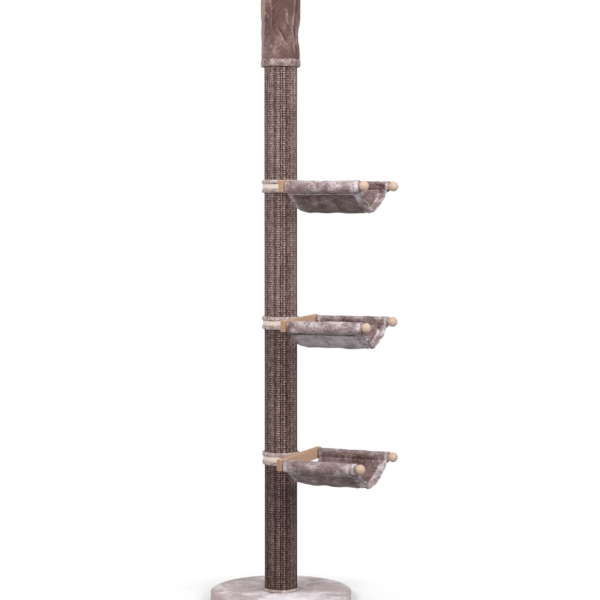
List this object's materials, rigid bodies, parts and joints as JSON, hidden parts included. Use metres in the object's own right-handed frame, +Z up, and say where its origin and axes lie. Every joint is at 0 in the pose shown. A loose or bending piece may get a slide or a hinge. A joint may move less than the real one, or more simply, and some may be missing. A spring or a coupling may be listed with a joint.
{
  "type": "cat tree",
  "caption": "Tall cat post pressed between floor and ceiling, with a round plush base, a sisal column and plush slings on wooden frames.",
  "frame": {"origin": "on the floor, at the post's axis, on the underside of the base's grip sheet", "axes": "+Z up the post to the ceiling, +X out over the slings, +Y along the crossbars, to the side of the strap buckles"},
  "size_m": [0.7634, 0.6, 2.62],
  "materials": {
    "base_board": "raw board under the plush",
    "base_plush": "short pale plush",
    "grip": "matt non-slip sheet",
    "steel": "zinc plated",
    "trim_plush": "grey-brown plush",
    "board": "raw board",
    "cardboard": "raw",
    "sisal": "woven sisal mat, matt",
    "brown_plush": "brushed short plush",
    "lining": "open non-slip mesh",
    "webbing": "woven cream webbing",
    "wood": "sanded, clear matt lacquer",
    "pale_wood": "sanded, clear matt lacquer"
  },
  "bodies": {
    "stand": {"base_board": "base_board", "base_plush_cover": "base_plush", "base_grip_pad": "grip", "base_bolt_1": "steel", "base_bolt_2": "steel", "base_bolt_3": "steel", "foot_trim": "trim_plush", "foot_plug": "board", "head_plug": "board", "thrust_plate": "steel", "post_tube_1": "cardboard", "post_tube_2": "cardboard", "post_tube_3": "cardboard", "post_tube_4": "cardboard", "sisal_wrap_1": "sisal", "sisal_wrap_2": "sisal", "sisal_wrap_3": "sisal", "sisal_wrap_4": "sisal", "joint_plug_lower_1": "board", "joint_plug_upper_1": "board", "joint_stud_1": "steel", "joint_plug_lower_2": "board", "joint_plug_upper_2": "board", "joint_stud_2": "steel", "joint_plug_lower_3": "board", "joint_plug_upper_3": "board", "joint_stud_3": "steel"},
    "tension_nut": {"tension_nut": "steel"},
    "ceiling_head": {"tension_rod": "steel", "rod_socket": "steel", "ceiling_board": "board", "ceiling_plush_cover": "brown_plush", "ceiling_sleeve": "brown_plush"},
    "lining_low": {"strap_lining_low": "lining"},
    "sling_low": {"strap_pad_low": "trim_plush", "strap_low": "webbing", "buckle_frame_low": "steel", "crossbar_low": "wood", "dowel_front_low": "pale_wood", "dowel_rear_low": "pale_wood", "sling_low": "brown_plush"},
    "cam_low": {"buckle_cam_low": "steel"},
    "lining_middle": {"strap_lining_middle": "lining"},
    "sling_middle": {"strap_pad_middle": "trim_plush", "strap_middle": "webbing", "buckle_frame_middle": "steel", "crossbar_middle": "wood", "dowel_front_middle": "pale_wood", "dowel_rear_middle": "pale_wood", "sling_middle": "brown_plush"},
    "cam_middle": {"buckle_cam_middle": "steel"},
    "lining_top": {"strap_lining_top": "lining"},
    "sling_top": {"strap_pad_top": "trim_plush", "strap_top": "webbing", "buckle_frame_top": "steel", "crossbar_top": "wood", "dowel_front_top": "pale_wood", "dowel_rear_top": "pale_wood", "sling_top": "brown_plush"},
    "cam_top": {"buckle_cam_top": "steel"}
  },
  "joints": [
    {"name": "head_rise", "type": "slide", "parent": "stand", "child": "ceiling_head", "axis": [0, 0, 1], "range_m": [-0.06, 0.13], "deforming": ["ceiling_sleeve"]},
    {"name": "nut_turn", "type": "hinge", "parent": "stand", "child": "tension_nut", "pos_m": [0, 0, 2.3536], "axis": [0, 0, 1], "range_deg": [-18721, 8641]},
    {"name": "height_low", "type": "slide", "parent": "stand", "child": "lining_low", "axis": [0, 0, 1], "range_m": [-0.4, 0.2]},
    {"name": "swivel_low", "type": "hinge", "parent": "lining_low", "child": "sling_low", "pos_m": [0, 0, 0.6075], "axis": [0, 0, 1], "continuous": true},
    {"name": "cam_low", "type": "hinge", "parent": "sling_low", "child": "cam_low", "pos_m": [-0.04439, 0.06835, 0.6075], "axis": [0, 0, 1], "range_deg": [0, 40], "stiffness_Nm_per_rad": 0.3, "springref_deg": -14.32},
    {"name": "height_middle", "type": "slide", "parent": "stand", "child": "lining_middle", "axis": [0, 0, 1], "range_m": [-0.2, 0.2]},
    {"name": "swivel_middle", "type": "hinge", "parent": "lining_middle", "child": "sling_middle", "pos_m": [0, 0, 1.1815], "axis": [0, 0, 1], "continuous": true},
    {"name": "cam_middle", "type": "hinge", "parent": "sling_middle", "child": "cam_middle", "pos_m": [-0.04905, 0.06509, 1.1815], "axis": [0, 0, 1], "range_deg": [0, 40], "stiffness_Nm_per_rad": 0.3, "springref_deg": -14.32},
    {"name": "height_top", "type": "slide", "parent": "stand", "child": "lining_top", "axis": [0, 0, 1], "range_m": [-0.2, 0.4]},
    {"name": "swivel_top", "type": "hinge", "parent": "lining_top", "child": "sling_top", "pos_m": [0, 0, 1.7555], "axis": [0, 0, 1], "continuous": true},
    {"name": "cam_top", "type": "hinge", "parent": "sling_top", "child": "cam_top", "pos_m": [-0.04675, 0.06676, 1.7555], "axis": [0, 0, 1], "range_deg": [0, 40], "stiffness_Nm_per_rad": 0.3, "springref_deg": -14.32}
  ],
  "couplings": [
    {"joint": "nut_turn", "follows": "head_rise", "rad_per_m": -2513.3}
  ]
}
